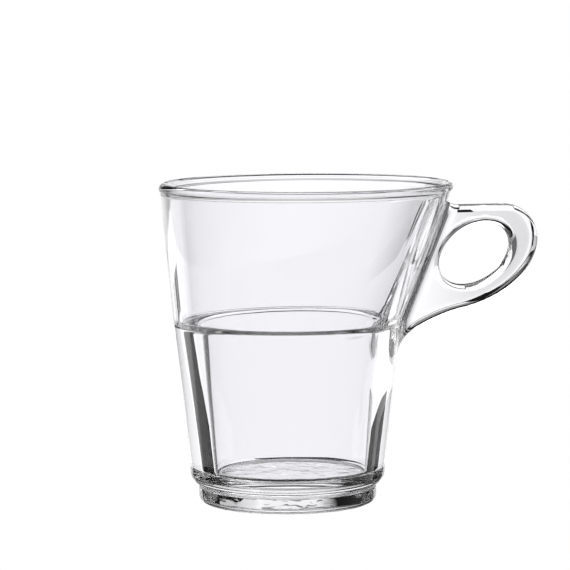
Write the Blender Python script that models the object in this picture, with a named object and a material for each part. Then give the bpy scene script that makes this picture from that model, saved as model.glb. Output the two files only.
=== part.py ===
"""Handled stacking cup of clear pressed glass: a bowl and the ring handle fused to it.

Lengths are in metres and +Z is up. The origin is the centre of the foot's flat underside, and +X points
from the bowl to the handle. The rim's centre stands off towards the handle, so the far wall stays nearly
straight and the wall under the handle flares.
"""

import math

import bmesh
import bpy
from mathutils import Matrix, Vector
from mathutils.geometry import delaunay_2d_cdt, interpolate_bezier

MM = 0.001

# Bowl: heights and outer radii
HEIGHT = 91.5 * MM
RIM_RADIUS = 42.0 * MM
LIP_RADIUS = 1.35 * MM
RIM_OFFSET = 5.9 * MM
LEDGE_HEIGHT = 52.0 * MM
LEDGE_RADIUS = 32.4 * MM
BODY_RADIUS = 27.9 * MM
BODY_CORNER = 3.4 * MM
BODY_CORNER_HEIGHT = 8.6 * MM
FOOT_RADIUS = 25.5 * MM
FOOT_HEIGHT = 5.1 * MM
HEEL_RADIUS = 2.0 * MM
GROOVE_DEPTH = 0.3 * MM

# Bowl: the hollow
UPPER_HOLLOW_RADIUS = 29.5 * MM
UPPER_HOLLOW_OFFSET = -0.5 * MM
LOWER_HOLLOW_RADIUS = 25.4 * MM
LOWER_HOLLOW_OFFSET = 0.7 * MM
FLOOR_RADIUS = 21.85 * MM
FLOOR_HEIGHT = 9.4 * MM
FLOOR_CORNER = 1.2 * MM
LEDGE_CORNER = 0.8 * MM
LEDGE_EDGE = 1.8 * MM

# Handle: outline in the XZ plane
HANDLE_TOP = 84.35 * MM
TIP_CENTRE = Vector((63.65, 74.35)) * MM
TIP_RADIUS = 10.05 * MM
TIP_END = math.radians(-5.0)
ROOT_TOP = Vector((46.2, 88.4)) * MM
UNDERSIDE = Vector((50.85, 53.97)) * MM
ROOT_BOTTOM = Vector((31.0, 44.4)) * MM
ROOT_DEPTH = 1.6 * MM

# Handle: finger hole
HOLE_CENTRE = Vector((54.87, 70.12)) * MM
HOLE_LENGTH = 22.5 * MM
HOLE_WIDTH = 15.8 * MM
HOLE_TILT = math.radians(30.5)

# Handle: section
HALF_THICKNESS = 3.4 * MM
EDGE_ROUND = 2.4 * MM
HOLE_ROUND = 1.8 * MM
ROOT_EDGE = 0.4 * MM
ROOT_FLARE = 3.6 * MM
FLARE_REACH = 7.0 * MM
JOINT_GAP = 0.3 * MM

# Mesh density
RING_SEGMENTS = 96
ROUND_STEPS = 4
CURVE_STEPS = 12
FACE_GRID = 28
INSIDE_ONLY = 1

GLASS_COLOUR = (0.93, 0.96, 0.97, 1.0)
GLASS_IOR = 1.52


def clear_scene():
    """Remove every object that the file opened with."""
    for item in list(bpy.data.objects):
        bpy.data.objects.remove(item, do_unlink=True)


def glass(name):
    """Return a clear glass material."""
    material = bpy.data.materials.new(name)
    material.use_nodes = True
    shader = material.node_tree.nodes["Principled BSDF"]
    shader.inputs["Base Color"].default_value = GLASS_COLOUR
    shader.inputs["Roughness"].default_value = 0.02
    shader.inputs["Metallic"].default_value = 0.0
    shader.inputs["IOR"].default_value = GLASS_IOR
    shader.inputs["Transmission Weight"].default_value = 1.0
    return material


def make_object(name, bm, material=None):
    """Turn a bmesh into a named, smooth-shaded object."""
    bmesh.ops.recalc_face_normals(bm, faces=bm.faces)
    mesh = bpy.data.meshes.new(name)
    bm.to_mesh(mesh)
    bm.free()
    mesh.shade_smooth()
    mesh.set_sharp_from_angle(angle=math.radians(40.0))
    if material:
        mesh.materials.append(material)
    item = bpy.data.objects.new(name, mesh)
    bpy.context.scene.collection.objects.link(item)
    return item


def arc(centre, radius, start, end, steps=ROUND_STEPS):
    """Return points of an arc, from start to end in degrees."""
    angles = [math.radians(start + (end - start) * i / steps) for i in range(steps + 1)]
    return [(centre[0] + radius * math.cos(a), centre[1] + radius * math.sin(a)) for a in angles]


def outer_offset(height):
    """Return how far the outer wall's centre stands off at a height."""
    rise = (height - LEDGE_HEIGHT) / (HEIGHT - LEDGE_HEIGHT)
    return RIM_OFFSET * max(0.0, rise)


def outer_rings():
    """Return (radius, height, offset) of the rings up the outside, from the foot to the lip."""
    corner = (BODY_RADIUS - BODY_CORNER, BODY_CORNER_HEIGHT)
    lip = (RIM_RADIUS - LIP_RADIUS, HEIGHT - LIP_RADIUS)
    profile = [
        *arc((FOOT_RADIUS - HEEL_RADIUS, HEEL_RADIUS), HEEL_RADIUS, -90, 0),
        (FOOT_RADIUS, FOOT_HEIGHT - GROOVE_DEPTH),
        (FOOT_RADIUS - GROOVE_DEPTH, FOOT_HEIGHT),
        *arc(corner, BODY_CORNER, -66, -6),
        (LEDGE_RADIUS, LEDGE_HEIGHT),
        *arc(lip, LIP_RADIUS, -40, 90, 6),
    ]
    return [(radius, height, outer_offset(height)) for radius, height in profile]


def inner_rings():
    """Return (radius, height, offset) of the rings down the inside, from the lip to the floor."""
    lip = (RIM_RADIUS - LIP_RADIUS, HEIGHT - LIP_RADIUS)
    top = (UPPER_HOLLOW_RADIUS - LEDGE_CORNER, LEDGE_HEIGHT + LEDGE_CORNER)
    edge = (LOWER_HOLLOW_RADIUS + LEDGE_EDGE, LEDGE_HEIGHT - LEDGE_EDGE)
    floor = (FLOOR_RADIUS - FLOOR_CORNER, FLOOR_HEIGHT + FLOOR_CORNER)
    rim = arc(lip, LIP_RADIUS, 110, 195, 4)
    seat = arc(top, LEDGE_CORNER, -14, -90, 3)
    low = [*arc(edge, LEDGE_EDGE, 90, 175), *arc(floor, FLOOR_CORNER, -5, -90)]
    return [
        *[(radius, height, outer_offset(height)) for radius, height in rim],
        *[(radius, height, UPPER_HOLLOW_OFFSET) for radius, height in seat],
        *[(radius, height, LOWER_HOLLOW_OFFSET) for radius, height in low],
    ]


def loft(bm, rings):
    """Skin a stack of (radius, height, offset) rings and close both ends."""
    loops = []
    for radius, height, offset in rings:
        place = Matrix.Translation((offset, 0.0, height))
        ring = bmesh.ops.create_circle(bm, segments=RING_SEGMENTS, radius=radius, matrix=place)
        loops.append(ring["verts"])
    for low, high in zip(loops, loops[1:]):
        for i in range(RING_SEGMENTS):
            j = (i + 1) % RING_SEGMENTS
            bm.faces.new((low[i], low[j], high[j], high[i]))
    bm.faces.new(loops[0])
    bm.faces.new(loops[-1])


def build_bowl():
    """Model the vessel as one closed skin, up the outside and down the inside."""
    bm = bmesh.new()
    loft(bm, outer_rings() + inner_rings())
    return make_object("bowl", bm, glass("bowl_glass"))


def wall_line(height):
    """Return the outer wall's X under the handle at a height."""
    if height > LEDGE_HEIGHT:
        rise = (height - LEDGE_HEIGHT) / (HEIGHT - LEDGE_HEIGHT)
        return LEDGE_RADIUS + (RIM_RADIUS + RIM_OFFSET - LEDGE_RADIUS) * rise
    rise = (height - BODY_CORNER_HEIGHT) / (LEDGE_HEIGHT - BODY_CORNER_HEIGHT)
    return BODY_RADIUS + (LEDGE_RADIUS - BODY_RADIUS) * rise


def along(start, end, count):
    """Return evenly spaced numbers from start to end, both included."""
    return [start + (end - start) * i / (count - 1) for i in range(count)]


def free_edge():
    """Return the handle's free edge in XZ, from the top of its root round the tip to the bottom."""
    top_start = Vector((53.5 * MM, HANDLE_TOP))
    tip = [Vector(p) for p in arc(TIP_CENTRE, TIP_RADIUS, 90, math.degrees(TIP_END), CURVE_STEPS)]
    top = [top_start.lerp(tip[0], i / 6) for i in range(1, 6)]
    down = Vector((math.sin(TIP_END), -math.cos(TIP_END)))
    back = Vector((-0.98, -0.2))
    fillet = interpolate_bezier(
        ROOT_TOP, Vector((47.9, 87.2)) * MM, Vector((50.2 * MM, HANDLE_TOP)), top_start, CURVE_STEPS)
    belly = interpolate_bezier(
        tip[-1], tip[-1] + down * 8.5 * MM, UNDERSIDE - back * 13.0 * MM, UNDERSIDE, CURVE_STEPS * 2)
    root = interpolate_bezier(
        UNDERSIDE, UNDERSIDE + back * 5.5 * MM, Vector((36.9, 49.3)) * MM, ROOT_BOTTOM, CURVE_STEPS)
    return fillet + top + tip + belly[1:] + root[1:]


def root_line():
    """Return the line that ends the root inside the wall, from its bottom to its top."""
    heights = along(ROOT_BOTTOM.y, ROOT_TOP.y, CURVE_STEPS * 2)
    return [Vector((wall_line(z) - ROOT_DEPTH, z)) for z in heights]


def hole_edge():
    """Return the finger hole's outline, an oval leaning with the handle."""
    lean = Matrix.Rotation(HOLE_TILT, 2)
    angles = along(0.0, math.tau, CURVE_STEPS * 4 + 1)[:-1]
    oval = [Vector((HOLE_LENGTH / 2 * math.cos(a), HOLE_WIDTH / 2 * math.sin(a))) for a in angles]
    return [HOLE_CENTRE + lean @ p for p in oval]


def in_hole(point):
    """Tell whether a point lies within the finger hole."""
    local = Matrix.Rotation(-HOLE_TILT, 2) @ (point - HOLE_CENTRE)
    return math.hypot(local.x / (HOLE_LENGTH / 2), local.y / (HOLE_WIDTH / 2)) < 1.0


def distance(point, line):
    """Return the distance from a point to a chain of points."""
    best = math.inf
    for a, b in zip(line, line[1:]):
        span = b - a
        share = min(1.0, max(0.0, (point - a).dot(span) / span.length_squared))
        best = min(best, (a + span * share - point).length)
    return best


def rounding(depth, radius):
    """Return the share of the full thickness at a depth in from a rounded edge."""
    flat = 1.0 - min(1.0, depth / radius)
    return math.sqrt(1.0 - flat * flat)


class HandleFace:
    """The handle's side view: its outline, its hole and the half thickness at each point."""

    def __init__(self):
        self.free = free_edge()
        self.root = root_line()
        self.hole = hole_edge()
        self.edges = (
            (self.free, EDGE_ROUND),
            (self.root, ROOT_EDGE),
            (self.hole + self.hole[:1], HOLE_ROUND),
        )

    def depths(self, point):
        """Return how far a point lies from each edge, in units of that edge's rounding."""
        return [distance(point, line) / radius for line, radius in self.edges]

    def half_thickness(self, point):
        """Return half the thickness at a point, wider at the root and rounded off at the edges."""
        reach = point.x - wall_line(point.y)
        near = max(0.0, 1.0 - reach / FLARE_REACH)
        half = HALF_THICKNESS + ROOT_FLARE * near * near
        for depth in self.depths(point):
            half *= rounding(depth, 1.0)
        return half

    def inner_points(self):
        """Return points for the mesh: bands along the rounded edges and a grid on the flat."""
        turns = along(0.0, math.pi / 2, ROUND_STEPS + 1)[1:]
        shares = [1.0 - math.cos(turn) for turn in turns]
        points = []
        for index, (line, radius) in enumerate(self.edges):
            ends = (line[-2], line[1]) if line[0] == line[-1] else (line[0], line[-1])
            for before, point, after in zip((ends[0], *line), line, (*line[1:], ends[1])):
                run = (after - before).normalized()
                inward = Vector((run.y, -run.x))
                for share in shares:
                    inner = point + inward * radius * share
                    depths = self.depths(inner)
                    others = depths[:index] + depths[index + 1:]
                    if depths[index] > share * 0.98 and min(others) > 0.3:
                        points.append(inner)
        columns = along(ROOT_BOTTOM.x, TIP_CENTRE.x + TIP_RADIUS, FACE_GRID)
        rows = along(ROOT_BOTTOM.y, ROOT_TOP.y, FACE_GRID)
        for x in columns:
            for z in rows:
                point = Vector((x, z))
                if min(self.depths(point)) > 1.25 and not in_hole(point):
                    points.append(point)
        return points

    def triangles(self):
        """Return XZ points and the triangles between the outline and the hole."""
        outer = self.free + self.root
        points = outer + self.hole + self.inner_points()
        first = len(outer)
        last = first + len(self.hole)
        loops = [list(range(first)), list(range(first, last))]
        edges = [(loop[i - 1], loop[i]) for loop in loops for i in range(len(loop))]
        result = delaunay_2d_cdt(points, edges, [], INSIDE_ONLY, 1e-7)
        corners = result[0]
        kept = [t for t in result[2] if not in_hole(sum((corners[i] for i in t), Vector((0, 0))) / 3)]
        return corners, kept


def handle_skin():
    """Return a bmesh of the whole handle, with its root run into the bowl."""
    face = HandleFace()
    points, triangles = face.triangles()
    bm = bmesh.new()
    front = []
    back = []
    for point in points:
        half = face.half_thickness(point)
        front.append(bm.verts.new((point.x, -half, point.y)))
        back.append(front[-1] if half < 1e-7 else bm.verts.new((point.x, half, point.y)))
    for triangle in triangles:
        bm.faces.new([front[i] for i in triangle])
        bm.faces.new([back[i] for i in reversed(triangle)])
    return bm


def build_handle():
    """Model the ring handle and trim its root to the bowl's wall, clear of it by the joint gap."""
    handle = make_object("handle", handle_skin(), glass("handle_glass"))
    rings = [(r + JOINT_GAP, z, offset) for r, z, offset in outer_rings()]
    bm = bmesh.new()
    loft(bm, rings)
    cutter = make_object("root_cutter", bm)
    cutter.hide_render = True
    cutter.display_type = "WIRE"
    trim = handle.modifiers.new("trim_root", "BOOLEAN")
    trim.operation = "DIFFERENCE"
    trim.solver = "EXACT"
    trim.object = cutter
    return handle


def main():
    """Build the cup."""
    clear_scene()
    build_bowl()
    build_handle()


main()
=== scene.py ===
"""Looks of the handled stacking cup: clear pressed glass on a white studio table.

Lengths are in metres and +Z is up. The bowl is a stack of rings whose centres lean to the handle,
skinned by Geometry Nodes. The handle grows out of the bowl's wall with a soft fillet, and both pieces
share the ring of points where they are fused, so the glass reads as one.
"""

from __future__ import annotations

import logging
import math
from collections.abc import Callable
from dataclasses import dataclass, field
from enum import Enum

import bpy
import numpy as np
from bpy.types import Camera, Material, Mesh, Node, NodeOutputs, NodeSocket, NodeTree, Object
from mathutils import Matrix, Vector
from mathutils.geometry import delaunay_2d_cdt, interpolate_bezier

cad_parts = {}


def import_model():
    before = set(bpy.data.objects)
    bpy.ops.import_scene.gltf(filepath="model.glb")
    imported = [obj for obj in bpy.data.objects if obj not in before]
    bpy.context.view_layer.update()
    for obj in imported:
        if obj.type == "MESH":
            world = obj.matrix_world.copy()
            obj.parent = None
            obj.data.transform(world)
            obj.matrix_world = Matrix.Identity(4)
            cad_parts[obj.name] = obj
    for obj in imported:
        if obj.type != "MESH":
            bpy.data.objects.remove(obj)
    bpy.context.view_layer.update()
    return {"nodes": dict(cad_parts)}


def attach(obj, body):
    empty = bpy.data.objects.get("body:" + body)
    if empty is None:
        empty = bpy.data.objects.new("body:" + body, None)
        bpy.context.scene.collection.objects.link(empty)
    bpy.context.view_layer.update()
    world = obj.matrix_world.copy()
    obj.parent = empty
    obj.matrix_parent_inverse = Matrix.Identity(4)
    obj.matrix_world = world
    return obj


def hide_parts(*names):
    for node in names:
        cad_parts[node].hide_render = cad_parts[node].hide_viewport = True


LOG = logging.getLogger("cup")
MM = 0.001
TINY = 1e-9
WHITE = (1.0, 1.0, 1.0, 1.0)
SKIN_BOUNCES = 40
MIRROR_BOUNCES = 24

Array = np.ndarray
Flat = tuple[float, float]
Point = tuple[float, float, float]
Face = tuple[int, ...]
Sheet = tuple[list[Point], list[Face], list[float]]


class Slot(Enum):
    """Names given to the glass materials of the bowl and the handle."""

    BOWL = "bowl_glass"
    HANDLE = "handle_glass"


def socket(node: Node, name: str) -> NodeSocket:
    """Return a node's first input of that name."""
    return next(s for s in node.inputs if s.name == name)


def feed(tree: NodeTree, slot: NodeSocket, value: object) -> None:
    """Link a socket to an input, or set the input to a constant."""
    if isinstance(value, NodeSocket):
        tree.links.new(value, slot)
    else:
        slot.default_value = value


def add_node(
    tree: NodeTree, kind: str, values: dict[str, object] | None = None, **options: object
) -> Node:
    """Add a node with its options, and feed its named inputs with constants or sockets."""
    node = tree.nodes.new(kind)
    for name, value in options.items():
        setattr(node, name, value)
    for name, value in (values or {}).items():
        feed(tree, socket(node, name), value)
    return node


def add_math(tree: NodeTree, operation: str, first: object, second: object) -> NodeSocket:
    """Add a math node on two sockets or numbers and return its result."""
    node = add_node(tree, "ShaderNodeMath", operation=operation)
    for slot, value in zip(node.inputs, (first, second)):
        feed(tree, slot, value)
    return node.outputs[0]


def plain_material(name: str, kind: str) -> tuple[Material, Node]:
    """Make a material of one shader of the given type, and return both."""
    material = bpy.data.materials.new(name)
    material.use_nodes = True
    tree = material.node_tree
    tree.nodes.remove(tree.nodes["Principled BSDF"])
    shader = add_node(tree, kind)
    tree.links.new(shader.outputs[0], tree.nodes["Material Output"].inputs["Surface"])
    return material, shader


def spread(start: float, end: float, count: int) -> list[float]:
    """Return evenly spaced values from start to end, both included."""
    return [float(v) for v in np.linspace(start, end, count)]


def arc(centre: Flat, radius: float, start: float, end: float, steps: int) -> list[Flat]:
    """Return the points of an arc between two angles in degrees, with a number of steps."""
    angles = [math.radians(a) for a in spread(start, end, steps + 1)]
    return [(centre[0] + radius * math.cos(a), centre[1] + radius * math.sin(a)) for a in angles]


def new_piece(name: str, data: Mesh | Camera) -> Object:
    """Link a mesh or a camera into the scene as an object at the origin."""
    piece = bpy.data.objects.new(name, data)
    bpy.context.scene.collection.objects.link(piece)
    return piece


@dataclass(frozen=True)
class ClearGlass:
    """Fire-polished soda-lime glass with the faint ripple of a pressing.

    Attributes:
        name: Name of the material.
        tint: Colour that the glass lets through.
        ior: Refractive index.
        roughness: Mean roughness of the polished skin.
        ripple_scale: Ripples per metre.
        ripple_height: Height of the ripple in metres.
        chill_scale: Chill marks per metre on the foot, where the glass first met the cold mould.
        chill_depth: Depth of the chill marks in metres.
        chill_full: Height up to which the chill marks are whole.
        chill_top: Height at which the chill marks have faded out.
        under_share: Share of their depth that the marks keep on the flat underside.
        under_top: Height from which they have all of it.
    """

    name: str
    tint: tuple[float, float, float, float] = (0.982, 0.978, 0.998, 1.0)
    ior: float = 1.52
    roughness: float = 0.004
    ripple_scale: float = 90.0
    ripple_height: float = 0.02 * MM
    chill_scale: float = 190.0
    chill_depth: float = 0.3 * MM
    chill_full: float = 3.5 * MM
    chill_top: float = 7.0 * MM
    under_share: float = 0.4
    under_top: float = 1.0 * MM
    RIPPLE_OCTAVES = 1.0
    CHILL_OCTAVES = 1.5

    def material(self) -> Material:
        """Build the glass material and return it."""
        material = bpy.data.materials.new(self.name)
        material.use_nodes = True
        tree = material.node_tree
        place = add_node(tree, "ShaderNodeTexCoord").outputs["Object"]
        ripple = add_node(tree, "ShaderNodeTexNoise", {
            "Vector": place, "Scale": self.ripple_scale, "Detail": self.RIPPLE_OCTAVES}).outputs["Fac"]
        bump = add_node(tree, "ShaderNodeBump", {
            "Strength": 1.0, "Distance": self.ripple_height, "Height": ripple})
        film = add_node(tree, "ShaderNodeMapRange", {
            "Value": ripple, "To Max": self.roughness * 2.0})
        shader = tree.nodes["Principled BSDF"]
        socket(shader, "Base Color").default_value = self.tint
        socket(shader, "IOR").default_value = self.ior
        socket(shader, "Transmission Weight").default_value = 1.0
        tree.links.new(film.outputs["Result"], socket(shader, "Roughness"))
        tree.links.new(self._chill(tree, place, bump), socket(shader, "Normal"))
        return material

    def _chill(self, tree: NodeTree, place: NodeSocket, ripple: Node) -> NodeSocket:
        """Lay the foot's chill marks over the ripple and return the finished normal."""
        marks = add_node(tree, "ShaderNodeTexNoise", {
            "Vector": place, "Scale": self.chill_scale, "Detail": self.CHILL_OCTAVES})
        height = add_node(tree, "ShaderNodeSeparateXYZ", {"Vector": place}).outputs["Z"]
        fade = add_node(tree, "ShaderNodeMapRange", {
            "Value": height, "From Min": self.chill_top, "From Max": self.chill_full})
        side = add_node(tree, "ShaderNodeMapRange", {
            "Value": height, "From Max": self.under_top, "To Min": self.under_share})
        bump = add_node(tree, "ShaderNodeBump", {
            "Strength": add_math(tree, "MULTIPLY", fade.outputs["Result"], side.outputs["Result"]),
            "Distance": self.chill_depth,
            "Height": marks.outputs["Fac"],
            "Normal": ripple.outputs["Normal"],
        })
        return bump.outputs["Normal"]


@dataclass(frozen=True)
class FusedJoint:
    """The inside face where the handle is fused to the bowl, which light passes unbent."""

    name: str = "fused_joint"

    def material(self) -> Material:
        """Build the pass-through material and return it."""
        return plain_material(self.name, "ShaderNodeBsdfTransparent")[0]


@dataclass(frozen=True)
class Glow:
    """A plain surface of the studio that glows as brightly as its points say."""

    name: str
    ATTRIBUTE = "light"

    def material(self) -> Material:
        """Build the studio surface's material and return it."""
        material, light = plain_material(self.name, "ShaderNodeEmission")
        tree = material.node_tree
        level = add_node(tree, "ShaderNodeAttribute", attribute_name=self.ATTRIBUTE)
        socket(light, "Color").default_value = WHITE
        tree.links.new(level.outputs["Fac"], socket(light, "Strength"))
        return material


@dataclass
class Wall:
    """The bowl's outer wall: a cone to the ledge, then a wider one that leans to the handle.

    Attributes:
        height: Height of the rim.
        rim_radius: Outer radius that the wall would have at the rim's height.
        rim_offset: How far the rim's centre stands off towards the handle.
        ledge_height: Height where the wall changes its slope.
        ledge_radius: Outer radius there.
        body_radius: Outer radius at the foot of the wall.
        body_height: Height of the foot of the wall.
        crease: Half the height over which the slope changes.
    """

    height: float = 91.5 * MM
    rim_radius: float = 42.0 * MM
    rim_offset: float = 5.9 * MM
    ledge_height: float = 52.0 * MM
    ledge_radius: float = 32.4 * MM
    body_radius: float = 27.9 * MM
    body_height: float = 8.6 * MM
    crease: float = 0.8 * MM
    PROBE = 0.2 * MM

    def rise(self, height: Array) -> Array:
        """Return how far each height stands above the ledge, easing in from none."""
        above = np.asarray(height, dtype=float) - self.ledge_height
        eased = np.clip(above + self.crease, 0.0, 2.0 * self.crease) ** 2 / (4.0 * self.crease)
        return np.where(above > self.crease, above, eased)

    def centre(self, height: Array) -> Array:
        """Return the X of the ring's centre at each height."""
        return self.rim_offset * self.rise(height) / (self.height - self.ledge_height)

    def radius(self, height: Array) -> Array:
        """Return the ring's radius at each height."""
        lower = (self.ledge_radius - self.body_radius) / (self.ledge_height - self.body_height)
        upper = (self.rim_radius - self.ledge_radius) / (self.height - self.ledge_height)
        straight = self.body_radius + lower * (np.asarray(height, dtype=float) - self.body_height)
        return straight + (upper - lower) * self.rise(height)

    def front_line(self, height: Array) -> Array:
        """Return the wall's X under the handle at each height."""
        return self.centre(height) + self.radius(height)

    def distance(self, points: Array) -> Array:
        """Return the signed distance from the wall of points, one a row, positive outside the glass."""
        height = points[:, 2]
        high, low = height + self.PROBE, height - self.PROBE
        across = points[:, 0] - self.centre(height)
        out = np.hypot(across, points[:, 1])
        radius_slope = (self.radius(high) - self.radius(low)) / (2.0 * self.PROBE)
        centre_slope = (self.centre(high) - self.centre(low)) / (2.0 * self.PROBE)
        slope = radius_slope + centre_slope * across / np.maximum(out, TINY)
        return (out - self.radius(height)) / np.sqrt(1.0 + slope**2)


@dataclass
class JointField:
    """The patch of the wall that the handle is fused to, a block of the bowl's rings and columns.

    Attributes:
        low: Height of its lowest ring.
        high: Height of its highest ring.
        rows: Number of ring stretches in it.
        columns: Number of column stretches on each side of the handle's middle.
        segments: Number of columns all round the bowl.
    """

    low: float = 37.5 * MM
    high: float = 88.9 * MM
    rows: int = 48
    columns: int = 10
    segments: int = 192

    def heights(self) -> list[float]:
        """Return the heights of the rings in the patch, from the lowest up."""
        return spread(self.low, self.high, self.rows + 1)

    def angles(self) -> list[float]:
        """Return the angles of the columns in the patch, from the front side to the back side."""
        step = math.tau / self.segments
        return [step * i for i in range(-self.columns, self.columns + 1)]


@dataclass
class Bowl:
    """The vessel, built as one stack of rings up the outside and down the inside.

    Attributes:
        wall: The outer wall's rule.
        joint: The patch of the wall under the handle's root.
        lip_radius: Radius of the rolled lip.
        lip_span: Angles in degrees between which the lip runs from the outer wall to the hollow.
        foot_radius: Outer radius of the foot.
        foot_height: Height of the foot.
        heel_radius: Rounding of the foot's lower edge.
        shoulder_end: Angle at which the foot's upper edge runs into the groove.
        groove_depth: Depth of the groove above the foot.
        groove_bottom: Shares of that depth by which its bottom lies in and down from the foot's edge.
        body_corner: Rounding of the body's lower corner.
        body_span: Angles between which that rounding runs.
        upper_radius: Radius of the upper hollow at the ledge.
        upper_offset: Offset of the upper hollow at the ledge.
        lower_radius: Radius of the lower hollow at the ledge.
        lower_offset: Offset of the lower hollow.
        floor_radius: Radius of the hollow at the floor.
        floor_height: Height of the floor.
        floor_corner: Rounding between the floor and the wall.
        ledge_corner: Rounding between the ledge and the upper wall.
        ledge_edge: Rounding of the ledge's brim over the lower hollow.
        ledge_lean: Angle at which the upper wall runs into the ledge's rounding.
        brim_end: Angle at which the brim runs into the lower wall.
        floor_lean: Angle at which the lower wall runs into the floor's rounding.
    """

    wall: Wall = field(default_factory=Wall)
    joint: JointField = field(default_factory=JointField)
    lip_radius: float = 1.35 * MM
    lip_span: Flat = (-32.0, 195.0)
    foot_radius: float = 25.5 * MM
    foot_height: float = 5.1 * MM
    heel_radius: float = 2.0 * MM
    shoulder_end: float = 80.0
    groove_depth: float = 0.35 * MM
    groove_bottom: Flat = (0.6, 0.3)
    body_corner: float = 3.4 * MM
    body_span: Flat = (-68.0, -6.0)
    upper_radius: float = 29.5 * MM
    upper_offset: float = -0.5 * MM
    lower_radius: float = 25.4 * MM
    lower_offset: float = 0.7 * MM
    floor_radius: float = 21.85 * MM
    floor_height: float = 9.4 * MM
    floor_corner: float = 1.2 * MM
    ledge_corner: float = 0.8 * MM
    ledge_edge: float = 1.8 * MM
    ledge_lean: float = -14.0
    brim_end: float = 175.0
    floor_lean: float = -5.0
    FOOT_WAIST = 0.6
    WALL_START = 0.5 * MM
    WALL_RINGS = 12
    UNDER_SHARES = (0.0, 0.25, 0.5, 0.75, 0.9, 0.98)
    WALL_SHARES = (0.01, 0.04, 0.12, 0.25, 0.4, 0.55, 0.7, 0.85, 0.95, 0.99)
    SEAT_SHARES = (0.15, 0.5, 0.85)
    FLOOR_SHARES = (0.03, 0.2, 0.5, 0.75, 1.0)

    def outer_rings(self) -> list[Point]:
        """Return (radius, offset, height) of the rings from the foot's middle up to the lip."""
        wall, soft = self.wall, self.groove_depth
        foot_flat = self.foot_radius - self.heel_radius
        profile = [(foot_flat * share, 0.0) for share in self.UNDER_SHARES]
        profile += arc((foot_flat, self.heel_radius), self.heel_radius, -90, 0, steps=10)
        profile.append((self.foot_radius, self.foot_height * self.FOOT_WAIST))
        shoulder = (self.foot_radius - soft, self.foot_height - 2.0 * soft)
        profile += arc(shoulder, soft, 0, self.shoulder_end, steps=5)
        inward, down = self.groove_bottom
        profile.append((self.foot_radius - inward * soft, self.foot_height - down * soft))
        corner = (wall.body_radius - self.body_corner, wall.body_height)
        profile += arc(corner, self.body_corner, *self.body_span, steps=12)
        below = spread(wall.body_height + self.WALL_START, self.joint.low, self.WALL_RINGS)[:-1]
        rings = self.offset(profile, 0.0)
        for z in below + self.joint.heights():
            rings.append((float(wall.radius(z)), float(wall.centre(z)), z))
        return rings

    def lip_rings(self) -> list[Point]:
        """Return the rings of the rolled lip, from the outer wall over to the hollow."""
        wall = self.wall
        centre = (wall.rim_radius - self.lip_radius, wall.height - self.lip_radius)
        profile = arc(centre, self.lip_radius, *self.lip_span, steps=24)
        return [(r, float(wall.centre(z)), z) for r, z in profile]

    def inner_rings(self) -> list[Point]:
        """Return the rings of the hollow, from under the lip down to the floor's middle."""
        ledge = self.wall.ledge_height
        corner, edge, turn = self.ledge_corner, self.ledge_edge, self.floor_corner
        seat = arc((self.upper_radius - corner, ledge + corner), corner, self.ledge_lean, -90, steps=8)
        seat_rings = self.offset(seat, self.upper_offset)
        brim = arc((self.lower_radius + edge, ledge - edge), edge, 90, self.brim_end, steps=12)
        brim_rings = self.offset(brim, self.lower_offset)
        bend = (self.floor_radius - turn, self.floor_height + turn)
        low_rings = self.offset(arc(bend, turn, self.floor_lean, -90, steps=12), self.lower_offset)
        middle = (0.0, self.lower_offset, self.floor_height)
        rings = self.between(self.lip_rings()[-1], seat_rings[0], self.WALL_SHARES) + seat_rings
        rings += self.between(seat_rings[-1], brim_rings[0], self.SEAT_SHARES) + brim_rings
        rings += self.between(brim_rings[-1], low_rings[0], self.WALL_SHARES) + low_rings
        return rings + self.between(low_rings[-1], middle, self.FLOOR_SHARES)

    @staticmethod
    def offset(profile: list[Flat], offset: float) -> list[Point]:
        """Return a profile's points as rings whose centres stand off by the offset."""
        return [(r, offset, z) for r, z in profile]

    @staticmethod
    def between(start: Point, end: Point, shares: tuple[float, ...]) -> list[Point]:
        """Return rings at shares of the way from one ring to another."""
        return [tuple(a + (b - a) * share for a, b in zip(start, end)) for share in shares]

    def build(self, glass: Material, joint: Material) -> Object:
        """Skin the rings and return the bowl.

        Args:
            glass: The glass.
            joint: The pass-through material of the patch under the handle.

        Returns:
            The bowl as a plain mesh.
        """
        outer = self.outer_rings()
        rings = outer + self.lip_rings() + self.inner_rings()
        profile = bpy.data.meshes.new("bowl_profile")
        profile.from_pydata(rings, [(i, i + 1) for i in range(len(rings) - 1)], [])
        bowl = new_piece("bowl_glass", profile)
        values = {
            "Rings": len(rings),
            "Segments": self.joint.segments,
            "Joint First Ring": len(outer) - 1 - self.joint.rows,
            "Joint Rings": self.joint.rows,
            "Joint Columns": self.joint.columns,
            "Glass": glass,
            "Joint": joint,
        }
        RingSkin().apply(bowl, values)
        return bowl


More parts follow.
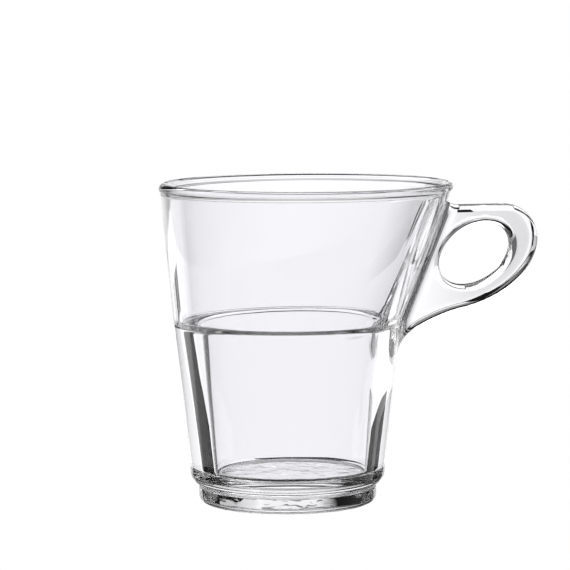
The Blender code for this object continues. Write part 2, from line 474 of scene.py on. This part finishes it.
class RingSkin:
    """Geometry Nodes tree that skins a stack of rings.

    The object's own points are the rings: X is a ring's radius, Y its centre's offset and Z its height.
    """

    NAME = "ring_skin"
    MERGE = 0.001 * MM

    def __init__(self) -> None:
        """Make the tree, or take the one that is there."""
        self.tree = bpy.data.node_groups.get(self.NAME)
        if self.tree is None:
            self.tree = bpy.data.node_groups.new(self.NAME, "GeometryNodeTree")
            self._inputs()
            self._wire()

    def _inputs(self) -> None:
        face = self.tree.interface
        face.new_socket("Profile", in_out="INPUT", socket_type="NodeSocketGeometry")
        for name in ("Rings", "Segments", "Joint First Ring", "Joint Rings", "Joint Columns"):
            face.new_socket(name, in_out="INPUT", socket_type="NodeSocketInt")
        for name in ("Glass", "Joint"):
            face.new_socket(name, in_out="INPUT", socket_type="NodeSocketMaterial")
        face.new_socket("Skin", in_out="OUTPUT", socket_type="NodeSocketGeometry")

    def _node(self, kind: str, values: dict[str, object] | None = None, **options: object) -> Node:
        """Add a node to the tree, feed its inputs and set its options."""
        return add_node(self.tree, kind, values, **options)

    def _math(self, operation: str, first: object, second: object) -> NodeSocket:
        """Add a math node to the tree and return its result."""
        return add_math(self.tree, operation, first, second)

    def _cells(self, width: NodeSocket) -> tuple[NodeSocket, NodeSocket]:
        """Return the ring and the column of each grid element, where a ring has that width."""
        index = self._node("GeometryNodeInputIndex").outputs[0]
        ring = self._math("FLOOR", self._math("DIVIDE", self._math("ADD", index, 0.5), width), 0.0)
        return ring, self._math("SUBTRACT", index, self._math("MULTIPLY", ring, width))

    def _wire(self) -> None:
        """Wire the grid, its rolling up into rings and the two materials."""
        given = self._node("NodeGroupInput").outputs
        columns = self._math("ADD", given["Segments"], 1.0)
        grid = self._node("GeometryNodeMeshGrid", {"Vertices X": given["Rings"], "Vertices Y": columns})
        ring, column = self._cells(columns)
        angle = self._math("MULTIPLY", self._math("DIVIDE", column, given["Segments"]), -math.tau)
        point = self._node("GeometryNodeSampleIndex", {
            "Geometry": given["Profile"],
            "Value": self._node("GeometryNodeInputPosition").outputs[0],
            "Index": ring,
        }, data_type="FLOAT_VECTOR", domain="POINT")
        parts = self._node("ShaderNodeSeparateXYZ", {"Vector": point.outputs[0]})
        radius, offset, height = parts.outputs
        across = self._math("MULTIPLY", radius, self._math("COSINE", angle, 0.0))
        place = self._node("ShaderNodeCombineXYZ", {
            "X": self._math("ADD", across, offset),
            "Y": self._math("MULTIPLY", radius, self._math("SINE", angle, 0.0)),
            "Z": height,
        })
        roll = self._node("GeometryNodeSetPosition", {
            "Geometry": grid.outputs["Mesh"], "Position": place.outputs[0]})
        smooth = self._node("GeometryNodeSetShadeSmooth", {"Geometry": roll.outputs[0]})
        dressed = self._dress(smooth.outputs[0], given)
        close = self._node("GeometryNodeMergeByDistance", {"Geometry": dressed, "Distance": self.MERGE})
        real = self._node("GeometryNodeRealizeInstances", {"Geometry": close.outputs[0]})
        self._node("NodeGroupOutput", {"Skin": real.outputs[0]})

    def _dress(self, skin: NodeSocket, given: NodeOutputs) -> NodeSocket:
        """Give the skin its glass, and the patch under the handle its joint material."""
        segments = given["Segments"]
        ring, column = self._cells(segments)
        step = self._math("SUBTRACT", ring, given["Joint First Ring"])
        above = self._math("GREATER_THAN", step, -0.5)
        below = self._math("LESS_THAN", step, self._math("SUBTRACT", given["Joint Rings"], 0.5))
        turned = self._math("ADD", column, given["Joint Columns"])
        around = self._math("FLOORED_MODULO", turned, segments)
        width = self._math("SUBTRACT", self._math("MULTIPLY", given["Joint Columns"], 2.0), 0.5)
        beside = self._math("LESS_THAN", around, width)
        inside = self._math("MULTIPLY", self._math("MULTIPLY", above, below), beside)
        glass = self._node("GeometryNodeSetMaterial", {"Geometry": skin, "Material": given["Glass"]})
        joint = self._node("GeometryNodeSetMaterial", {
            "Geometry": glass.outputs[0], "Selection": inside, "Material": given["Joint"]})
        return joint.outputs[0]

    def apply(self, piece: Object, values: dict[str, object]) -> None:
        """Run the tree on a piece with values for its inputs, and leave the result as a plain mesh."""
        modifier = piece.modifiers.new(self.NAME, "NODES")
        modifier.node_group = self.tree
        for item in self.tree.interface.items_tree:
            if item.name in values:
                modifier[item.identifier] = values[item.name]
        graph = bpy.context.evaluated_depsgraph_get()
        skin = bpy.data.meshes.new_from_object(piece.evaluated_get(graph))
        piece.modifiers.clear()
        piece.data = skin


@dataclass
class Handle:
    """The ring handle: a flat ear with an oval finger hole and rounded edges, fused to the wall.

    Attributes:
        wall: The outer wall's rule.
        joint: The patch of the wall that the root covers.
        top: Height of the top edge.
        tip_centre: Centre of the tip's arc, in XZ.
        tip_radius: Radius of the tip's arc.
        tip_end: Angle where the tip's arc ends, in degrees.
        tip_pull: How far the belly's curve follows the tip's direction.
        underside: Lowest point of the finger ring, in XZ.
        underside_run: Direction of the edge there.
        belly_pull: How far the belly's curve follows that direction.
        root_pull: How far the root's curve follows it.
        root_bend: Point that the root's curve bends towards, in XZ.
        root_bottom: Where the lower edge runs into the wall, in XZ.
        root_inside: How far the root runs into the wall.
        hole_centre: Centre of the finger hole, in XZ.
        hole_long: Half the hole's length.
        hole_short: Half the hole's width.
        hole_tilt: Lean of the hole in degrees.
        half_thickness: Half the ear's thickness.
        edge_round: How far in the outer edge's rounding runs.
        hole_round: How far in the hole's rounding runs.
        fillet: Reach of the fillet between the ear and the wall.
        cut: How far from the wall the skirt of the fillet starts.
        cut_floor: Height under which that start isn't looked for.
        cut_swell: How much taller the lower edge's rounding is where the fillet cuts it.
        spacing: Distance between mesh points on the flat.
        skirt_rows: Rows of the skirt between the ear and the wall.
    """

    wall: Wall = field(default_factory=Wall)
    joint: JointField = field(default_factory=JointField)
    top: float = 84.35 * MM
    tip_centre: Flat = (63.65 * MM, 74.35 * MM)
    tip_radius: float = 10.05 * MM
    tip_end: float = -5.0
    tip_pull: float = 8.5 * MM
    underside: Flat = (50.85 * MM, 53.97 * MM)
    underside_run: Flat = (-0.98, -0.2)
    belly_pull: float = 13.0 * MM
    root_pull: float = 5.5 * MM
    root_bend: Flat = (36.9 * MM, 49.3 * MM)
    root_bottom: Flat = (31.0 * MM, 44.4 * MM)
    root_inside: float = 12.0 * MM
    hole_centre: Flat = (54.87 * MM, 70.12 * MM)
    hole_long: float = 11.25 * MM
    hole_short: float = 7.9 * MM
    hole_tilt: float = 30.5
    half_thickness: float = 3.4 * MM
    edge_round: float = 2.3 * MM
    hole_round: float = 1.7 * MM
    fillet: float = 5.0 * MM
    cut: float = 2.6 * MM
    cut_floor: float = 44.0 * MM
    cut_swell: float = 1.3
    spacing: float = 0.85 * MM
    skirt_rows: int = 12
    HOLE_POINTS = 97
    BAND_TURNS = (14.0, 28.0, 42.0, 56.0, 70.0, 85.0)
    BAND_CLEAR = 0.25 * MM
    EDGE_CLEAR = 0.3 * MM
    CUT_CLEAR = 0.5 * MM
    HALVINGS = 40
    SKIRT_ROUNDS = 14
    PROBE = 0.02 * MM
    LEAST_STEEP = 0.05
    LONGEST_STEP = 0.8 * MM

    def __post_init__(self) -> None:
        """Lay out the outline and the hole."""
        self.edge: Array = self._free_edge()
        self.hole: Array = self._hole_edge()

    def _free_edge(self) -> Array:
        """Return the free edge in XZ, from inside the wall at the top round the tip and back."""
        back = Vector(self.underside_run)
        turn = math.radians(self.tip_end)
        down = Vector((math.sin(turn), -math.cos(turn)))
        tip = [Vector(p) for p in arc(self.tip_centre, self.tip_radius, 90, self.tip_end, 40)]
        underside = Vector(self.underside)
        bottom = Vector(self.root_bottom)
        lead = (tip[-1] + down * self.tip_pull, underside - back * self.belly_pull)
        belly = interpolate_bezier(tip[-1], *lead, underside, 48)
        hold = (underside + back * self.root_pull, Vector(self.root_bend))
        root = interpolate_bezier(underside, *hold, bottom, 30)
        slope = (root[-1] - root[-2]).normalized()
        inside = bottom + slope * self.root_inside
        start = Vector((self.wall.front_line(self.top) - self.root_inside, self.top))
        top = [start.lerp(tip[0], share) for share in spread(0.0, 1.0, 24)]
        return np.array(top + tip[1:] + belly[1:] + root[1:] + [inside])

    def _hole_edge(self) -> Array:
        """Return the finger hole's outline in XZ, closed."""
        lean = math.radians(self.hole_tilt)
        angle = np.linspace(0.0, math.tau, self.HOLE_POINTS)
        along = self.hole_long * np.cos(angle)
        across = self.hole_short * np.sin(angle)
        x = along * math.cos(lean) - across * math.sin(lean)
        z = along * math.sin(lean) + across * math.cos(lean)
        return np.stack([x, z], axis=1) + np.array(self.hole_centre)

    @staticmethod
    def _gap(points: Array, line: Array) -> Array:
        """Return the distance from each XZ point to a chain of points, signed by its right-hand side."""
        best = np.full(len(points), np.inf)
        side = np.ones(len(points))
        for a, b in zip(line, line[1:]):
            span = b - a
            rel = points - a
            share = np.clip(rel @ span / (span @ span), 0.0, 1.0)
            off = rel - share[:, None] * span
            reach = np.hypot(off[:, 0], off[:, 1])
            nearer = reach < best - TINY * MM
            turn = rel[:, 0] * span[1] - rel[:, 1] * span[0]
            side = np.where(nearer, np.sign(turn), side)
            best = np.where(nearer, reach, best)
        return best * np.where(side == 0.0, 1.0, side)

    def edge_share(self, flat: Array) -> Array:
        """Return how far each XZ point stands into a rounding, 1 on an edge and 0 on the flat."""
        depth = self._gap(flat, self.edge)
        hole_depth = self._gap(flat, self.hole)
        outer = (self.edge_round - depth) / self.edge_round
        inner = (self.hole_round - hole_depth) / self.hole_round
        return np.maximum(np.maximum(outer, inner), 0.0)

    def ear(self, points: Array) -> Array:
        """Return a signed distance of points from the ear, taken by itself."""
        share = self.edge_share(points[:, [0, 2]])
        rise = points[:, 1] / self.half_thickness
        full = np.sqrt(share**2 + rise**2)
        pull = np.sqrt((share / self.edge_round) ** 2 + (rise / self.half_thickness) ** 2)
        return np.where(pull > TINY, full * (full - 1.0) / np.maximum(pull, TINY), -self.half_thickness)

    def fused(self, points: Array) -> Array:
        """Return a signed distance of points from the wall and the ear with the fillet between."""
        wall = self.wall.distance(points)
        ear = self.ear(points)
        overlap = np.maximum(self.fillet - np.abs(wall - ear), 0.0) / self.fillet
        return np.minimum(wall, ear) - overlap**2 * self.fillet / 4.0

    def slope(self, points: Array) -> Array:
        """Return the direction in which the fused distance grows at each point."""
        steps = np.eye(3) * self.PROBE
        growth = [self.fused(points + step) - self.fused(points - step) for step in steps]
        return np.stack(growth, axis=1) / (2.0 * self.PROBE)

    def settle(self, points: Array, rounds: int = 8) -> Array:
        """Move points, one a row, onto the fused surface in a number of steps."""
        for _ in range(rounds):
            value = self.fused(points)
            slope = self.slope(points)
            steep = np.maximum((slope**2).sum(axis=1), self.LEAST_STEEP)
            move = np.clip(value / steep, -self.LONGEST_STEP, self.LONGEST_STEP)
            points = points - move[:, None] * slope
        return points

    def wall_points(self) -> Array:
        """Return the joint's points on the wall, as rows from the lowest ring up."""
        angles = self.joint.angles()
        rows = []
        for z in self.joint.heights():
            radius = float(self.wall.radius(z))
            centre = float(self.wall.centre(z))
            rows.append([(centre + radius * math.cos(a), radius * math.sin(a), z) for a in angles])
        return np.array(rows)

    def cut_line(self, count: int, rim: int) -> Array:
        """Return the XZ line where the skirt starts, from the top edge to the lower edge.

        Args:
            count: Number of points.
            rim: Number of stretches in each edge's rounding.

        Returns:
            Points along a line at a fixed distance from the wall.
        """
        low, high = self.cut_floor, self.top
        for _ in range(self.HALVINGS):
            middle = (low + high) / 2.0
            place = np.array([[float(self.wall.front_line(middle)) + self.cut, middle]])
            if self._gap(place, self.edge)[0] > 0.0:
                high = middle
            else:
                low = middle
        bottom = (low + high) / 2.0
        turns = np.linspace(0.0, math.pi / 2.0, rim + 1)
        upper = self.top - self.edge_round * (1.0 - np.cos(turns))
        lower = bottom + self.cut_swell * self.edge_round * (1.0 - np.cos(turns[::-1]))
        flat = np.linspace(upper[-1], lower[0], count - 2 * rim)
        heights = np.concatenate([upper[:-1], flat, lower[1:]])
        return np.stack([self.wall.front_line(heights) + self.cut, heights], axis=1)

    def face_points(self, cut: Array) -> tuple[Array, Array, Array, list[Face]]:
        """Lay out the ear's side view as triangles.

        Args:
            cut: The line where the skirt starts.

        Returns:
            XZ points, the index of each cut point, the indices on the free edges, and the triangles.
        """
        reach = self.cut + self.EDGE_CLEAR
        free = [p for p in self.edge if p[0] > self.wall.front_line(p[1]) + reach]
        outline = self._resample(np.array([cut[0], *free, cut[-1]]), self.spacing)
        hole = self._resample(self.hole, self.spacing)[:-1]
        loop = np.concatenate([outline, cut[::-1][1:-1]])
        inner = self._inner_points(outline, hole, cut)
        points = np.concatenate([loop, hole, inner])
        first, last = len(loop), len(loop) + len(hole)
        rings = [list(range(first)), list(range(first, last))]
        edges = [(ring[i - 1], ring[i]) for ring in rings for i in range(len(ring))]
        result = delaunay_2d_cdt([Vector(p) for p in points], edges, [], 1, TINY)
        found = np.array([tuple(p) for p in result[0]])
        place = {source: i for i, sources in enumerate(result[3]) for source in sources}
        hole_ring = {place[i] for i in range(first, last)}
        triangles = [tuple(t) for t in result[2] if not hole_ring.issuperset(t)]
        corner = len(outline) - 1
        order = [0, *range(len(loop) - 1, corner - 1, -1)]
        waist = [*range(corner + 1), *range(first, last)]
        return found, np.array([place[i] for i in order]), np.array([place[i] for i in waist]), triangles

    @staticmethod
    def _resample(line: Array, spacing: float) -> Array:
        """Return evenly spaced points along a chain, both ends included."""
        steps = np.hypot(*(line[1:] - line[:-1]).T)
        walked = np.concatenate([[0.0], np.cumsum(steps)])
        count = max(2, round(walked[-1] / spacing))
        at = np.linspace(0.0, walked[-1], count + 1)
        return np.stack([np.interp(at, walked, line[:, i]) for i in range(2)], axis=1)

    def _inner_points(self, outline: Array, hole: Array, cut: Array) -> Array:
        """Return mesh points within the ear: bands along its rounded edges and a grid on the flat.

        Args:
            outline: Points of the free edge.
            hole: Points of the hole's edge.
            cut: The line where the skirt starts.

        Returns:
            XZ points clear of all edges.
        """
        bands = []
        closed = np.concatenate([hole[-1:], hole, hole[:1]])
        for line, reach in ((outline, self.edge_round), (closed, self.hole_round)):
            run = line[2:] - line[:-2]
            normal = np.stack([run[:, 1], -run[:, 0]], axis=1)
            normal /= np.hypot(normal[:, 0], normal[:, 1])[:, None]
            for turn in np.radians(self.BAND_TURNS):
                bands.append(line[1:-1] + normal * reach * (1.0 - math.cos(turn)))
        band = np.concatenate(bands)
        band = band[self._gap(band, cut[::-1]) > self.BAND_CLEAR]
        x = np.arange(cut[:, 0].min(), outline[:, 0].max(), self.spacing)
        z = np.arange(cut[:, 1].min(), self.top, self.spacing)
        grid = np.stack(np.meshgrid(x, z), axis=-1).reshape(-1, 2)
        clear = self._gap(grid, self.edge) > self.edge_round + self.EDGE_CLEAR
        clear &= self._gap(grid, self.hole) > self.hole_round + self.EDGE_CLEAR
        clear &= self._gap(grid, cut[::-1]) > self.CUT_CLEAR
        return np.concatenate([band, grid[clear]])

    def build(self, glass: Material, joint: Material) -> Object:
        """Build the handle, closed by the patch of wall that it is fused to.

        Args:
            glass: The glass.
            joint: The pass-through material of the patch.

        Returns:
            The handle as a plain mesh.
        """
        columns, rows = self.joint.columns, self.joint.rows
        wall = self.wall_points()
        border = [(rows, columns - i) for i in range(columns + 1)]
        border += [(rows - i, 0) for i in range(1, rows + 1)]
        border += [(0, i) for i in range(1, columns + 1)]
        cut = self.cut_line(len(border), columns)
        flat, cut_index, waist, triangles = self.face_points(cut)
        net = HandleNet()
        share = self.edge_share(flat)
        half = self.half_thickness * np.sqrt(np.maximum(1.0 - share**2, 0.0))
        half[waist] = 0.0
        sheet = self.settle(np.stack([flat[:, 0], -half, flat[:, 1]], axis=1))
        net.add_sheet(sheet, triangles)
        start = sheet[cut_index]
        end = np.array([wall[i, j] for i, j in border])
        shares = np.linspace(0.0, 1.0, self.skirt_rows + 1)[1:-1]
        rows_between = np.concatenate([start + (end - start) * s for s in shares])
        skirt = np.split(self.settle(rows_between, self.SKIRT_ROUNDS), len(shares))
        net.add_skirt(cut_index, skirt, end)
        net.add_patch(wall)
        return net.piece("handle_glass", glass, joint, self.slope)


class HandleNet:
    """Points and faces of the handle, gathered from its front sheet, skirt and patch and mirrored."""

    SNAP = 1e-6
    FLUSH = 2e-6

    def __init__(self) -> None:
        """Start with no points."""
        self.points: list[Point] = []
        self.faces: list[Face] = []
        self.patch_faces: list[Face] = []
        self.found: dict[tuple[int, int, int], int] = {}
        self.sheet: Array = np.zeros((0, 3))

    def flush(self, points: Array) -> Array:
        """Return points with those next to the handle's middle plane moved onto it."""
        return np.where(np.abs(points) < self.FLUSH, 0.0, points)

    def point(self, place: Array) -> int:
        """Return the index of a point, adding it if it is new."""
        key = tuple(int(round(float(v) / self.SNAP)) for v in place)
        if key not in self.found:
            self.found[key] = len(self.points)
            self.points.append(tuple(float(v) for v in place))
        return self.found[key]

    def both(self, corners: list[Array]) -> None:
        """Add a face of the front and its mirror image at the back."""
        front = [self.point(p) for p in corners]
        flip = np.array([1.0, -1.0, 1.0])
        back = [self.point(p * flip) for p in reversed(corners)]
        for face in (front, back):
            if len(set(face)) == len(face):
                self.faces.append(tuple(face))

    def add_sheet(self, sheet: Array, triangles: list[Face]) -> None:
        """Add the ear's front sheet and its mirror image."""
        self.sheet = self.flush(sheet)
        for triangle in triangles:
            self.both([self.sheet[i] for i in triangle])

    def add_skirt(self, cut: Array, skirt: list[Array], end: Array) -> None:
        """Add the skirt from the sheet's cut points to the joint's border, and its mirror image."""
        rows = [self.flush(row) for row in (self.sheet[cut], *skirt, end)]
        for near, far in zip(rows, rows[1:]):
            for i in range(len(near) - 1):
                self.both([near[i], far[i], far[i + 1], near[i + 1]])

    def add_patch(self, wall: Array) -> None:
        """Close the root with the patch of wall that it is fused to."""
        wall = self.flush(wall)
        for low, high in zip(wall, wall[1:]):
            for i in range(len(low) - 1):
                corners = (low[i], high[i], high[i + 1], low[i + 1])
                self.patch_faces.append(tuple(self.point(p) for p in corners))

    def piece(
        self, name: str, glass: Material, joint: Material, slope: Callable[[Array], Array]
    ) -> Object:
        """Make the gathered faces an object.

        Args:
            name: Name of the object.
            glass: The glass.
            joint: The pass-through material of the patch.
            slope: Function that gives the surface's direction at points.

        Returns:
            The handle.
        """
        mesh = bpy.data.meshes.new(name)
        mesh.from_pydata(self.points, [], self.faces + self.patch_faces)
        mesh.materials.append(glass)
        mesh.materials.append(joint)
        for polygon in mesh.polygons[len(self.faces):]:
            polygon.material_index = 1
        mesh.shade_smooth()
        normals = slope(np.array(self.points))
        normals /= np.maximum(np.linalg.norm(normals, axis=1), TINY)[:, None]
        mesh.normals_split_custom_set_from_vertices([tuple(n) for n in normals])
        return new_piece(name, mesh)


class Sight(Enum):
    """Who sees a card of the studio: the camera itself, or only the light in the glass."""

    CAMERA = "camera"
    GLASS = "glass"


@dataclass(frozen=True)
class Card:
    """A flat lit or dark card of the studio.

    Attributes:
        name: Name of the card.
        corners: Its corners in millimetres: across the view, behind the cup's axis, above the table.
        light: Brightness of its surface.
        sight: Who sees it.
    """

    name: str
    corners: tuple[Point, ...]
    light: float = 0.01
    sight: Sight = Sight.GLASS

    def mesh(self) -> Sheet:
        """Return the card's points in millimetres, its faces and the brightness at each point."""
        return list(self.corners), [tuple(range(len(self.corners)))], [self.light] * len(self.corners)


@dataclass(frozen=True)
class Curtain:
    """A curtain, lit or dim, hung in an arc behind the cup.

    Attributes:
        name: Name of the curtain.
        low: Height of its lower edge in millimetres.
        high: Height of its upper edge.
        lights: Azimuths in degrees, 0 behind the cup and growing to the right, and the brightness there.
        radius: Distance from the cup's axis in millimetres.
        steps: Number of flat stretches.
        sight: Who sees it.
    """

    name: str
    low: float
    high: float
    lights: tuple[Flat, ...]
    radius: float = 600.0
    steps: int = 220
    sight: Sight = Sight.GLASS

    def mesh(self) -> Sheet:
        """Return the curtain's points in millimetres, its faces and the brightness at each point."""
        azimuths, brightness = zip(*self.lights)
        points = []
        lights = []
        for azimuth in spread(azimuths[0], azimuths[-1], self.steps + 1):
            across = self.radius * math.sin(math.radians(azimuth))
            behind = self.radius * math.cos(math.radians(azimuth))
            points += [(across, behind, self.low), (across, behind, self.high)]
            lights += [float(np.interp(azimuth, azimuths, brightness))] * 2
        quads = [(2 * i, 2 * i + 2, 2 * i + 3, 2 * i + 1) for i in range(self.steps)]
        return points, quads, lights


@dataclass
class Studio:
    """Bright-field studio: white table and backdrop, and the curtains and cards that the glass shows.

    Attributes:
        table_side: Side of the square table.
        table_drop: How far the table lies under the foot.
        gloom: Brightness of the room beyond the cards.
        cards: The cards and curtains, which turn with the camera.
    """

    table_side: float = 8.0
    table_drop: float = 0.05 * MM
    gloom: float = 0.012
    cards: tuple[Card | Curtain, ...] = (
        Card("backdrop", (
            (-3000, 1500, -2000), (3000, 1500, -2000), (3000, 1500, 3000), (-3000, 1500, 3000)),
            1.0, Sight.CAMERA),
        Curtain("low_curtain", -200, 0, (
            (-66, 0.0), (-62, 1.1), (62, 1.1), (75, 0.3), (110, 0.0))),
        Curtain("curtain", -350, 330, (
            (-110, 0.0), (-60, 0.25), (-36, 0.4), (-15, 0.85), (-7, 1.05), (0, 1.15),
            (15, 1.0), (36, 0.4), (60, 0.25), (110, 0.0)), 3000),
        Curtain("dim_band", 330, 465, ((-24, 0.0), (-10, 0.25), (14, 0.35), (22, 0.0)), 3000),
        Curtain("haze", 465, 690, ((-24, 0.0), (-14, 1.0), (14, 1.0), (22, 0.0)), 3000),
        Curtain("high_haze", 690, 1000, ((-24, 0.0), (-10, 0.3), (14, 0.4), (22, 0.0)), 3000),
        Curtain("left_flag", 2, 20, ((-45, 0.02), (-35, 0.02)), 300),
        Curtain("right_flag", 13, 66, (
            (10, 1.1), (14, 0.88), (20, 0.78), (24, 0.65), (34, 0.6)), 300),
        Curtain("softbox", 400, 1600, ((-85, 2.0), (85, 2.0))),
        Card("side_flag", ((90, 125, 34), (230, 125, 34), (230, 125, 75), (90, 125, 75)), 0.15),
        Card("handle_sill", ((62, 85, -1), (150, 85, -1), (150, 320, -1), (62, 320, -1)), 1.1),
        Card("sill", ((-60, 48, -1), (60, 48, -1), (60, 118, -1), (-60, 118, -1)), 1.1),
        Card("tip_card", ((51, 60, 60), (57, 60, 60), (57, 60, 73), (51, 60, 73))),
        Card("left_card", (
            (-40, 26, 47), (-43, 26, 22), (-46, 26, -30),
            (-90, 26, -30), (-82, 26, 8), (-66, 26, 28), (-60, 26, 43))),
        Card("right_card", (
            (40, 26, 28), (44, 26, -30), (90, 26, -30), (79, 26, 8), (50, 26, 24))),
    )

    def build(self, camera: Object) -> None:
        """Set the room, the table and the cards, which turn with the camera."""
        scene = bpy.context.scene
        world = bpy.data.worlds.new("room")
        world.use_nodes = True
        air = world.node_tree.nodes["Background"]
        socket(air, "Color").default_value = WHITE
        socket(air, "Strength").default_value = self.gloom
        scene.world = world
        scene.view_settings.view_transform = "Standard"
        scene.view_settings.look = "None"
        self._table()
        for card in self.cards:
            self._hang(card, camera)

    def _plate(self, name: str, sheet: Sheet, sight: Sight) -> Object:
        """Make a stage plate, in metres, that glows by itself."""
        points, faces, lights = sheet
        mesh = bpy.data.meshes.new(name)
        mesh.from_pydata(points, [], faces)
        glow = mesh.attributes.new(Glow.ATTRIBUTE, "FLOAT", "POINT")
        glow.data.foreach_set("value", lights)
        mesh.materials.append(Glow(name).material())
        plate = new_piece(name, mesh)
        plate.visible_camera = sight is Sight.CAMERA
        plate.visible_transmission = sight is Sight.GLASS
        plate.visible_glossy = sight is Sight.GLASS
        return plate

    def _table(self) -> None:
        """Lay the table, so evenly lit that no shadow shows on it."""
        half = self.table_side / 2.0
        z = -self.table_drop
        corners = [(-half, -half, z), (half, -half, z), (half, half, z), (-half, half, z)]
        self._plate("table", (corners, [(0, 1, 2, 3)], [1.0] * 4), Sight.CAMERA)

    def _hang(self, card: Card | Curtain, camera: Object) -> None:
        """Hang a card on the camera's rig."""
        sight = camera.matrix_world.to_3x3() @ Vector((0.0, 0.0, -1.0))
        turn = Matrix.Rotation(math.atan2(-sight.x, sight.y), 3, "Z")
        points, faces, lights = card.mesh()
        placed = [tuple(turn @ Vector(point) * MM) for point in points]
        plate = self._plate(card.name, (placed, faces, lights), card.sight)
        plate.parent = camera
        plate.matrix_parent_inverse = camera.matrix_world.inverted()


@dataclass
class PhotoCamera:
    """The photograph's viewpoint, with a long lens a little above the rim.

    Attributes:
        azimuth: Turn about the cup in degrees, 0 looking along +Y.
        distance: Distance from the cup's axis, along the ground.
        height: Height above the table.
        aside: Shift to the right of the axis.
        pitch: Downward tilt in degrees.
        roll: Turn about the line of sight in degrees.
        focal_px: Focal length in pixels of the photograph.
        side_px: Side of the photograph in pixels.
        sensor: Width of the sensor in millimetres.
        clip_start: Distance from which the camera sees.
    """

    azimuth: float = -10.0
    distance: float = 0.80587
    height: float = 0.14551
    aside: float = -0.00049
    pitch: float = 5.907
    roll: float = -0.298
    focal_px: float = 2835.0
    side_px: int = 570
    sensor: float = 36.0
    clip_start: float = 10.0 * MM

    def build(self) -> Object:
        """Place the camera, make it the scene's own and return it."""
        data = bpy.data.cameras.new("photo_camera")
        data.sensor_width = self.sensor
        data.lens = self.focal_px * self.sensor / self.side_px
        data.clip_start = self.clip_start
        camera = new_piece("photo_camera", data)
        turn = Matrix.Rotation(math.radians(self.azimuth), 4, "Z")
        place = Matrix.Translation((self.aside, -self.distance, self.height))
        tilt = Matrix.Rotation(math.radians(90.0 - self.pitch), 4, "X")
        lean = Matrix.Rotation(math.radians(self.roll), 4, "Z")
        camera.matrix_world = turn @ place @ tilt @ lean
        bpy.context.scene.camera = camera
        return camera


def settle_light() -> None:
    """Let light cross the many glass skins before it is dropped."""
    cycles = bpy.context.scene.cycles
    cycles.max_bounces = cycles.transmission_bounces = SKIN_BOUNCES
    cycles.glossy_bounces = cycles.transparent_max_bounces = MIRROR_BOUNCES


def show(piece: Object, node: str) -> None:
    """Let a piece ride with the cup and stand for its CAD node."""
    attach(piece, "root")
    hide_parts(node)
    LOG.info("%s: %d faces", piece.name, len(piece.data.polygons))


def main() -> None:
    """Build the cup, its studio and its camera."""
    logging.basicConfig(level=logging.INFO, format="%(name)s: %(message)s")
    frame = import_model()
    LOG.info("frame: %d nodes", len(frame["nodes"]))
    joint = FusedJoint().material()
    bowl = Bowl().build(ClearGlass(Slot.BOWL.value).material(), joint)
    show(bowl, "bowl")
    handle = Handle().build(ClearGlass(Slot.HANDLE.value).material(), joint)
    show(handle, "handle")
    Studio().build(PhotoCamera().build())
    settle_light()


if __name__ == "__main__":
    main()
